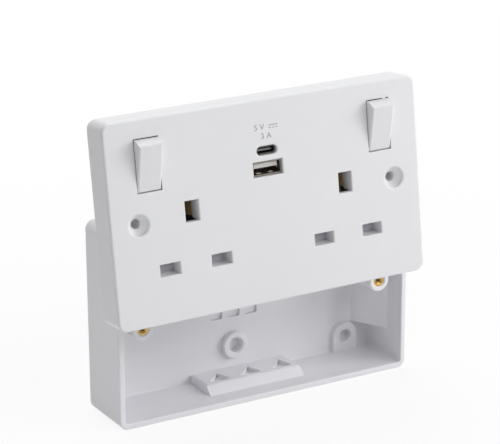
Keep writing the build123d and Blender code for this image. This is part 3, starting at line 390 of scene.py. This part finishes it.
def metal(name, colour, tarnish, amount, roughness):
    """Bare or plated metal, with this amount of tarnish."""
    values = {"Colour": (*colour, 1), "Tarnish": (*tarnish, 1), "Amount": amount, "Roughness": roughness}
    return surface(name, metal_group(), values, LINE_STRENGTH, LINE_HEIGHT, metallic=1.0)


def finish_of(name):
    """A finish made earlier by one of the finish operators."""
    return bpy.data.materials[name]


def dress(material, *nodes):
    """Gives CAD nodes a finish."""
    for node in nodes:
        for place in frame["nodes"][node].material_slots:
            place.material = material


def add_piece(name, mesh, body, material=None):
    """A finished piece whose place is in its mesh."""
    piece = bpy.data.objects.new(name, mesh)
    bpy.context.scene.collection.objects.link(piece)
    if material:
        mesh.materials.clear()
        mesh.materials.append(material)
    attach(piece, body)
    return piece


def weld(mesh, distance):
    """Merges the vertices that lie closer than this."""
    shape = bmesh.new()
    shape.from_mesh(mesh)
    bmesh.ops.remove_doubles(shape, verts=shape.verts, dist=distance)
    shape.to_mesh(mesh)
    shape.free()


def shade_by_angle(mesh, degrees):
    """Smooth faces with sharp edges above an angle."""
    mesh.polygons.foreach_set("use_smooth", [True] * len(mesh.polygons))
    mesh.set_sharp_from_angle(angle=math.radians(degrees))


def grown(name, tree, values, matrix):
    """The plain mesh that a Geometry Nodes tree makes with these values, set in place."""
    holder = bpy.data.objects.new(name + ".holder", bpy.data.meshes.new(name + ".seed"))
    bpy.context.scene.collection.objects.link(holder)
    modifier = holder.modifiers.new("Tree", "NODES")
    modifier.node_group = tree
    for item in tree.interface.items_tree:
        if item.item_type == "SOCKET" and item.in_out == "INPUT" and item.name in values:
            modifier[item.identifier] = values[item.name]
    graph = bpy.context.evaluated_depsgraph_get()
    mesh = bpy.data.meshes.new_from_object(holder.evaluated_get(graph))
    mesh.name = name
    holder.modifiers.remove(modifier)
    bpy.data.objects.remove(holder)
    mesh.transform(matrix)
    return mesh


def new_tree(name, inputs):
    """An empty Geometry Nodes tree with named inputs and one geometry output."""
    tree = bpy.data.node_groups.new(name, "GeometryNodeTree")
    for label, kind, value in inputs:
        socket = tree.interface.new_socket(label, in_out="INPUT", socket_type=kind)
        socket.default_value = value
    tree.interface.new_socket("Geometry", in_out="OUTPUT", socket_type="NodeSocketGeometry")
    return tree, tree.nodes.new("NodeGroupInput"), tree.nodes.new("NodeGroupOutput")


def end_in_row(tree, line, shape, material, result):
    """Ends a tree in copies of a shape on a line's points, made real and given their material."""
    spread = tree.nodes.new("GeometryNodeInstanceOnPoints")
    real = tree.nodes.new("GeometryNodeRealizeInstances")
    paint = tree.nodes.new("GeometryNodeSetMaterial")
    paint.inputs["Material"].default_value = material
    tree.links.new(line.outputs["Mesh"], spread.inputs["Points"])
    tree.links.new(shape.outputs["Mesh"], spread.inputs["Instance"])
    tree.links.new(spread.outputs["Instances"], real.inputs["Geometry"])
    tree.links.new(real.outputs["Geometry"], paint.inputs["Geometry"])
    tree.links.new(paint.outputs["Geometry"], result.inputs["Geometry"])
    return tree


def thread_tree(material):
    """Rings stacked along Z: the turns of a thread inside a bore."""
    tree, given, result = new_tree("Thread turns", [
        ("Bore", "NodeSocketFloat", THREAD_R), ("Depth", "NodeSocketFloat", 0.28),
        ("Pitch", "NodeSocketFloat", 0.6), ("Turns", "NodeSocketInt", THREAD_TURNS)])
    links = tree.links
    ring = node_of(tree, "GeometryNodeCurvePrimitiveCircle", Resolution=40)
    links.new(given.outputs["Bore"], ring.inputs["Radius"])
    profile = node_of(tree, "GeometryNodeCurvePrimitiveCircle", Resolution=4)
    links.new(given.outputs["Depth"], profile.inputs["Radius"])
    turn = tree.nodes.new("GeometryNodeCurveToMesh")
    links.new(ring.outputs["Curve"], turn.inputs["Curve"])
    links.new(profile.outputs["Curve"], turn.inputs["Profile Curve"])
    line = tree.nodes.new("GeometryNodeMeshLine")
    links.new(given.outputs["Turns"], line.inputs["Count"])
    down = math_of(tree, "MULTIPLY", given.outputs["Pitch"], -1.0)
    links.new(vector_of(tree, Z=down), line.inputs["Offset"])
    return end_in_row(tree, line, turn, material, result)


def contact_tree(material):
    """A row of flat strips along X, centred: each is as wide in X, high in Y and long in Z as given."""
    name = f"{material.name} row"
    tree = bpy.data.node_groups.get(name)
    if tree:
        return tree
    tree, given, result = new_tree(name, [
        ("Count", "NodeSocketInt", 4), ("Spacing", "NodeSocketFloat", 2.4),
        ("Width", "NodeSocketFloat", 1.0), ("Length", "NodeSocketFloat", 7.0),
        ("Height", "NodeSocketFloat", 0.12)])
    links = tree.links
    strip = tree.nodes.new("GeometryNodeMeshCube")
    size = vector_of(tree, X=given.outputs["Width"], Y=given.outputs["Height"], Z=given.outputs["Length"])
    links.new(size, strip.inputs["Size"])
    line = tree.nodes.new("GeometryNodeMeshLine")
    links.new(given.outputs["Count"], line.inputs["Count"])
    links.new(vector_of(tree, X=given.outputs["Spacing"]), line.inputs["Offset"])
    steps = math_of(tree, "SUBTRACT", given.outputs["Count"], 1.0)
    reach = math_of(tree, "MULTIPLY", steps, given.outputs["Spacing"])
    start = math_of(tree, "MULTIPLY", reach, -0.5)
    links.new(vector_of(tree, X=start), line.inputs["Start Location"])
    return end_in_row(tree, line, strip, material, result)


def strips(name, material, sizes, count, matrix):
    """A piece made of a row of flat strips."""
    mesh = grown(name, contact_tree(material), {**sizes, "Count": count}, matrix)
    add_piece(name, mesh, "fixed")


def lettering(text, height, half, matrix):
    """A mesh of plain characters about the XY plane, their capitals this high and twice half thick."""
    curve = bpy.data.curves.new(text, "FONT")
    curve.body = text
    curve.size = height / CAPITAL_SHARE
    curve.align_x = "CENTER"
    curve.align_y = "CENTER"
    curve.extrude = half
    curve.resolution_u = 6
    holder = bpy.data.objects.new(text, curve)
    bpy.context.scene.collection.objects.link(holder)
    graph = bpy.context.evaluated_depsgraph_get()
    mesh = bpy.data.meshes.new_from_object(holder.evaluated_get(graph))
    bpy.data.objects.remove(holder)
    weld(mesh, LETTER_WELD)
    mesh.transform(matrix)
    return mesh


def current_sign(right, up):
    """The sign for direct current: a bar over three dashes, about this place on the face."""
    dash_up = up + CURRENT_DASH_RISE
    places = [(right, up + CURRENT_BAR_RISE, CURRENT_SIGN_W)]
    places += [(right + step * CURRENT_DASH_STEP, dash_up, CURRENT_DASH_W) for step in (-1, 0, 1)]
    shape = bmesh.new()
    for x, y, width in places:
        size = Matrix.Diagonal((width, CURRENT_STROKE, 2 * INK_HALF, 1.0))
        bmesh.ops.create_cube(shape, size=1.0, matrix=Matrix.Translation((x, y, INK_RISE)) @ size)
    mesh = bpy.data.meshes.new("current_sign")
    shape.to_mesh(mesh)
    shape.free()
    return mesh


def joined(name, meshes):
    """One mesh out of several."""
    shape = bmesh.new()
    for mesh in meshes:
        shape.from_mesh(mesh)
    result = bpy.data.meshes.new(name)
    shape.to_mesh(result)
    shape.free()
    return result


def background_rays(tree):
    """A socket that is 1 on the rays that show the white background: the camera's, and those off metal."""
    path = tree.nodes.new("ShaderNodeLightPath")
    seen = math_of(tree, "MAXIMUM", path.outputs["Is Camera Ray"], path.outputs["Is Glossy Ray"])
    return math_of(tree, "MAXIMUM", seen, path.outputs["Is Transmission Ray"])


def mixed(tree, share, first, second):
    """A mix of two shaders, with this share of the second."""
    mix = tree.nodes.new("ShaderNodeMixShader")
    tree.links.new(share, mix.inputs["Fac"])
    tree.links.new(first.outputs[0], mix.inputs[1])
    tree.links.new(second.outputs[0], mix.inputs[2])
    return mix.outputs[0]


def studio_world(strength):
    """A faint light from all round, and white where the background shows."""
    world = bpy.data.worlds.new("Studio")
    world.use_nodes = True
    tree = world.node_tree
    tree.nodes.clear()
    around = node_of(tree, "ShaderNodeBackground", Color=(0.96, 0.97, 1.0, 1), Strength=strength)
    white = node_of(tree, "ShaderNodeBackground", Color=(1, 1, 1, 1), Strength=1.0)
    out = tree.nodes.new("ShaderNodeOutputWorld")
    tree.links.new(mixed(tree, background_rays(tree), around, white), out.inputs["Surface"])
    return world


def floor_finish():
    """Pale floor that keeps the part's shadow and fades into the white background."""
    pale = bpy.data.materials.new("Pale floor")
    pale.use_nodes = True
    tree = pale.node_tree
    tree.nodes.clear()
    diffuse = node_of(tree, "ShaderNodeBsdfDiffuse", Color=(0.88, 0.88, 0.88, 1))
    glow = node_of(tree, "ShaderNodeEmission", Color=(1, 1, 1, 1), Strength=1.0)
    place = tree.nodes.new("ShaderNodeTexCoord")
    far = tree.nodes.new("ShaderNodeVectorMath")
    far.operation = "LENGTH"
    tree.links.new(place.outputs["Object"], far.inputs[0])
    fade = node_of(tree, "ShaderNodeMapRange", From_Min=0.1, From_Max=0.4, To_Min=0.9, To_Max=1.0)
    tree.links.new(far.outputs["Value"], fade.inputs["Value"])
    share = math_of(tree, "MULTIPLY", background_rays(tree), fade.outputs["Result"])
    out = tree.nodes.new("ShaderNodeOutputMaterial")
    tree.links.new(mixed(tree, share, diffuse, glow), out.inputs["Surface"])
    return pale


def floor_piece():
    """A wide flat floor just under the part."""
    mesh = bpy.data.meshes.new("floor")
    level = CAD_BOX[0][2] - FLOOR_GAP
    corners = ((-1, -1), (1, -1), (1, 1), (-1, 1))
    mesh.from_pydata([(x * FLOOR_HALF, y * FLOOR_HALF, level) for x, y in corners], [], [(0, 1, 2, 3)])
    mesh.materials.append(floor_finish())
    return bpy.data.objects.new("floor", mesh)


def lamp(name, place, size, power):
    """A square area light that faces the part."""
    data = bpy.data.lights.new(name, "AREA")
    data.shape = "SQUARE"
    data.size = size
    data.energy = power
    light = bpy.data.objects.new(name, data)
    light.location = place
    light.rotation_euler = (LAMP_TARGET - Vector(place)).to_track_quat("-Z", "Y").to_euler()
    return light


def photo_camera(lens):
    """A camera that stands and looks as the photograph's did."""
    data = bpy.data.cameras.new("photo")
    data.sensor_fit = "HORIZONTAL"
    data.sensor_width = 36.0
    data.lens = lens
    data.clip_start = 0.01
    camera = bpy.data.objects.new("photo", data)
    camera.location = CAMERA_PLACE
    level_view = CAMERA_LOOK.to_track_quat("-Z", "Y")
    camera.rotation_euler = (level_view @ Quaternion((0, 0, 1), CAMERA_ROLL)).to_euler()
    return camera


class SOCKET_OT_mouldings(bpy.types.Operator):
    """Finish the plate, rockers, box, base, shutters and plungers"""

    bl_idname = "socket.mouldings"
    bl_label = "Finish the mouldings"

    def execute(self, context):
        look = context.scene.socket_finish
        for name, colour, roughness, grain, size, nodes in (
            ("Plate moulding", look.plate_colour, 0.36, look.grain, FINE_GRAIN,
             ("faceplate",)),
            ("Rocker moulding", look.rocker_colour, 0.34, look.grain, FINE_GRAIN,
             ("left_rocker", "right_rocker")),
            ("Box moulding", look.box_colour, 0.42, look.grain, FINE_GRAIN,
             ("surface_box",)),
            ("Base moulding", look.base_colour, 0.5, 0.15, 1200.0,
             ("rear_base",)),
            ("Shutter moulding", look.shutter_colour, 0.45, 0.12, FINE_GRAIN,
             ("left_shutter", "right_shutter")),
            ("Plunger moulding", (0.62, 0.6, 0.54), 0.4, 0.1, FINE_GRAIN,
             ("left_plunger", "right_plunger")),
        ):
            dress(moulded(name, colour, roughness, grain, size), *nodes)
        return {"FINISHED"}


class SOCKET_OT_metalwork(bpy.types.Operator):
    """Finish the inserts, strips, terminals, rocker springs and screws"""

    bl_idname = "socket.metalwork"
    bl_label = "Finish the metalwork"

    def execute(self, context):
        look = context.scene.socket_finish
        for name, colour, tarnish, amount, roughness, nodes in (
            ("Turned brass", look.brass_colour, (0.22, 0.12, 0.03), 0.4, 0.2,
             ("left_insert", "right_insert", "live_terminal", "neutral_terminal", "earth_terminal")),
            ("Stamped brass", (0.74, 0.62, 0.38), (0.3, 0.2, 0.09), 0.4, 0.38,
             ("live_bar", "left_live_strip", "right_live_strip", "neutral_bar", "earth_bar")),
            ("Contact strip", (0.62, 0.33, 0.2), (0.2, 0.08, 0.04), 0.4, 0.25,
             ("left_moving_contact", "right_moving_contact")),
            ("Spring wire", (0.5, 0.5, 0.52), (0.25, 0.24, 0.24), 0.3, 0.22,
             ("left_rocker_spring", "right_rocker_spring")),
            ("Zinc plate", (0.62, 0.61, 0.57), (0.4, 0.38, 0.3), 0.35, 0.3,
             ("terminal_screws", "base_screws")),
        ):
            dress(metal(name, colour, tarnish, amount, roughness), *nodes)
        return {"FINISHED"}


class SOCKET_OT_charger(bpy.types.Operator):
    """Finish the charging ports and the board behind them"""

    bl_idname = "socket.charger"
    bl_label = "Finish the charging module"

    def execute(self, context):
        look = context.scene.socket_finish
        for name, colour, tarnish, amount, roughness, node in (
            ("Port shell", look.shell_colour, (0.14, 0.11, 0.08), 0.45, 0.28, "usb_a_shell"),
            # The small port's shell is near-black: painted shade for the dark gap round the port's mouth
            ("Dark shell", (0.13, 0.125, 0.12), (0.05, 0.045, 0.04), 0.4, 0.3, "usb_c_shell"),
        ):
            dress(metal(name, colour, tarnish, amount, roughness), node)
        for name, colour, roughness, grain, size, mottle, node in (
            ("Pale tongue", (0.6, 0.6, 0.58), 0.45, 0.08, FINE_GRAIN, FAINT_MOTTLE, "usb_a_tongue"),
            ("Dark tongue", (0.22, 0.22, 0.23), 0.4, 0.08, FINE_GRAIN, FAINT_MOTTLE, "usb_c_tongue"),
            ("Board lacquer", (0.02, 0.12, 0.05), 0.3, 0.25, 700.0, 0.25, "usb_board"),
            ("Winding tape", (0.5, 0.36, 0.05), 0.35, 0.2, 500.0, 0.12, "usb_transformer"),
            ("Capacitor sleeve", (0.015, 0.02, 0.035), 0.32, 0.1, FINE_GRAIN, FAINT_MOTTLE, "usb_capacitors"),
        ):
            dress(moulded(name, colour, roughness, grain, size, mottle), node)
        return {"FINISHED"}


class SOCKET_OT_wide_port(bpy.types.Operator):
    """Contact strips, spring tabs, and dark strips of painted shade for their windows in the wide port"""

    bl_idname = "socket.wide_port"
    bl_label = "Fit out the wide port"

    def execute(self, context):
        gold = metal("Contact gold", (0.75, 0.55, 0.22), (0.5, 0.34, 0.12), amount=0.2, roughness=0.18)
        low, high = plate_box("usb_a_tongue")
        middle = (low + high) / 2
        out = high.z - WIDE_CONTACT_INSET - WIDE_CONTACT["Length"] / 2
        strips("usb_a_contacts", gold, WIDE_CONTACT, context.scene.socket_fittings.contacts_a,
               plate_matrix(middle.x, middle.y + WIDE_CONTACT_RISE, out))

        # Near-black strips in the spring windows: painted shade for the shade seen through the shell's
        # openings
        window_shade = moulded("Port window", (0.02, 0.018, 0.016), roughness=0.6, grain=0.02)
        plated = metal("Port spring", (0.58, 0.53, 0.44), (0.3, 0.24, 0.16), amount=0.3, roughness=0.3)
        low, high = plate_box("usb_a_shell")
        middle = (low + high) / 2
        window_shade_out = high.z - SPRING_WINDOW_SHADE_INSET - SPRING_WINDOW_SHADE["Length"] / 2
        tab_out = high.z - SPRING_TAB_INSET - SPRING_TAB["Length"] / 2
        bend = Matrix.Rotation(math.radians(SPRING_TAB_BEND), 4, "X")
        for side, right, up, angle, count in (
            ("right", high.x - SPRING_WALL, middle.y, 90, 1),
            ("left", low.x + SPRING_WALL, middle.y, -90, 1),
            ("lower", middle.x, low.y + SPRING_WALL, 0, 2),
        ):
            roll = Matrix.Rotation(math.radians(angle), 4, "Z")
            strips(f"usb_a_window_{side}", window_shade, SPRING_WINDOW_SHADE, count,
                   plate_matrix(right, up, window_shade_out, roll))
            strips(f"usb_a_tab_{side}", plated, SPRING_TAB, count,
                   plate_matrix(right, up, tab_out, roll @ bend))
        return {"FINISHED"}


class SOCKET_OT_small_port(bpy.types.Operator):
    """Contact strips on both sides of the small port's tongue"""

    bl_idname = "socket.small_port"
    bl_label = "Fit out the small port"

    def execute(self, context):
        gold = finish_of("Contact gold")
        low, high = plate_box("usb_c_tongue")
        middle = (low + high) / 2
        out = high.z - SMALL_CONTACT_INSET - SMALL_CONTACT["Length"] / 2
        for side, rise in (("upper", SMALL_CONTACT_RISE), ("lower", -SMALL_CONTACT_RISE)):
            place = plate_matrix(middle.x, middle.y + rise, out)
            strips(f"usb_c_contacts_{side}", gold, SMALL_CONTACT,
                   context.scene.socket_fittings.contacts_c, place)
        return {"FINISHED"}


class SOCKET_OT_threads(bpy.types.Operator):
    """Turns of the thread inside the brass inserts"""

    bl_idname = "socket.threads"
    bl_label = "Thread the inserts"

    def execute(self, context):
        fittings = context.scene.socket_fittings
        tree = thread_tree(finish_of("Turned brass"))
        values = {
            "Bore": THREAD_R,
            "Depth": fittings.thread_depth / MM,
            "Pitch": fittings.thread_pitch / MM,
            "Turns": THREAD_TURNS,
        }
        inwards = Matrix.Rotation(math.radians(90), 4, "X") @ Matrix.Scale(MM, 4)
        first_turn = Matrix.Translation((0, 0, -THREAD_START))
        for side in ("left", "right"):
            low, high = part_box(f"{side}_insert")
            mouth = Vector(((low.x + high.x) / 2, low.y, (low.z + high.z) / 2))
            matrix = Matrix.Translation(mouth) @ inwards @ first_turn
            mesh = grown(f"{side}_insert_thread", tree, values, matrix)
            add_piece(f"{side}_insert_thread", mesh, "fixed")
        return {"FINISHED"}


class SOCKET_OT_springs(bpy.types.Operator):
    """Return springs for the shutters: welded, shaded copies of the CAD springs, set on the fixed body"""

    bl_idname = "socket.springs"
    bl_label = "Set the shutter springs"

    def execute(self, context):
        wire = finish_of("Spring wire")
        for side in ("left", "right"):
            node = f"{side}_shutter_spring"
            mesh = frame["nodes"][node].data.copy()
            weld(mesh, WIRE_WELD * MM)
            shade_by_angle(mesh, WIRE_SHADE_ANGLE)
            spring = add_piece(f"{side}_return_spring", mesh, "fixed", wire)
            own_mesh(spring)
            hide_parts(node)
        return {"FINISHED"}


class SOCKET_OT_markings(bpy.types.Operator):
    """Print the small sign above the ports and raise the terminal letters on the base"""

    bl_idname = "socket.markings"
    bl_label = "Add the markings"

    def execute(self, context):
        fittings = context.scene.socket_fittings
        ink = moulded("Print ink", context.scene.socket_finish.print_colour, roughness=0.5, grain=0.02)
        height = fittings.sign_height / MM
        ports_top = plate_box("usb_c_shell")[1].y
        volts_up = ports_top + VOLTS_RISE
        amps_up = ports_top + AMPS_RISE
        sign = joined("port_sign", [
            lettering("5 V", height, INK_HALF, Matrix.Translation((VOLTS_SHIFT, volts_up, INK_RISE))),
            lettering("3 A", height, INK_HALF, Matrix.Translation((0.0, amps_up, INK_RISE))),
            current_sign(CURRENT_SIGN_SHIFT, volts_up),
        ])
        sign.transform(plate_matrix(0, 0, 0))
        add_piece("port_sign", sign, "fixed", ink)

        height = fittings.letter_height / MM
        rear = plate_box("rear_base")[0].z
        half_turn = Matrix.Rotation(math.pi, 4, "Y")
        for pole, letter in (("live", "L"), ("neutral", "N"), ("earth", "E")):
            low, high = plate_box(f"{pole}_terminal")
            middle = (low + high) / 2
            place = plate_matrix(middle.x - LETTER_STEP, middle.y, rear, half_turn)
            mesh = lettering(letter, height, LETTER_HALF, place)
            add_piece(f"{pole}_letter", mesh, "fixed", finish_of("Base moulding"))
        return {"FINISHED"}


class SOCKET_OT_studio(bpy.types.Operator):
    """Floor, lights and camera"""

    bl_idname = "socket.studio"
    bl_label = "Set the studio"

    def execute(self, context):
        scene = context.scene
        studio = scene.socket_studio
        scene.view_settings.view_transform = "Standard"
        scene.world = studio_world(studio.ambient)
        floor = floor_piece()
        scene.collection.objects.link(floor)
        for name, place, size, power in (
            ("key", (1.2, -0.9, 0.6), 1.0, studio.key),
            ("fill", (-1.35, -0.5, 0.5), 1.0, studio.fill),
            ("top", (0.26, -1.15, 0.93), 0.6, studio.top),
            ("back", (0.0, 0.45, 1.2), 0.9, studio.back),
        ):
            scene.collection.objects.link(lamp(name, place, size, power))
        camera = photo_camera(studio.lens)
        scene.collection.objects.link(camera)
        scene.camera = camera
        return {"FINISHED"}


class SOCKET_PT_panel(bpy.types.Panel):
    """Lists the operators and their values"""

    bl_label = "Switched double socket"
    bl_idname = "SOCKET_PT_panel"
    bl_space_type = "VIEW_3D"
    bl_region_type = "UI"
    bl_category = "Socket"

    def draw(self, context):
        layout = self.layout
        scene = context.scene
        for group in (scene.socket_finish, scene.socket_fittings, scene.socket_studio):
            box = layout.box()
            for name in group.__annotations__:
                box.prop(group, name)
        for operator in OPERATORS:
            layout.operator(operator.bl_idname)


OPERATORS = (
    SOCKET_OT_mouldings,
    SOCKET_OT_metalwork,
    SOCKET_OT_charger,
    SOCKET_OT_wide_port,
    SOCKET_OT_small_port,
    SOCKET_OT_threads,
    SOCKET_OT_springs,
    SOCKET_OT_markings,
    SOCKET_OT_studio,
)
CLASSES = (SocketFinish, SocketFittings, SocketStudio, *OPERATORS, SOCKET_PT_panel)


def register():
    for cls in CLASSES:
        bpy.utils.register_class(cls)
    bpy.types.Scene.socket_finish = PointerProperty(type=SocketFinish)
    bpy.types.Scene.socket_fittings = PointerProperty(type=SocketFittings)
    bpy.types.Scene.socket_studio = PointerProperty(type=SocketStudio)


def unregister():
    del bpy.types.Scene.socket_studio
    del bpy.types.Scene.socket_fittings
    del bpy.types.Scene.socket_finish
    for cls in reversed(CLASSES):
        bpy.utils.unregister_class(cls)


def main():
    register()
    bpy.ops.socket.mouldings()
    bpy.ops.socket.metalwork()
    bpy.ops.socket.charger()
    bpy.ops.socket.wide_port()
    bpy.ops.socket.small_port()
    bpy.ops.socket.threads()
    bpy.ops.socket.springs()
    bpy.ops.socket.markings()
    bpy.ops.socket.studio()


if __name__ == "__main__":
    main()
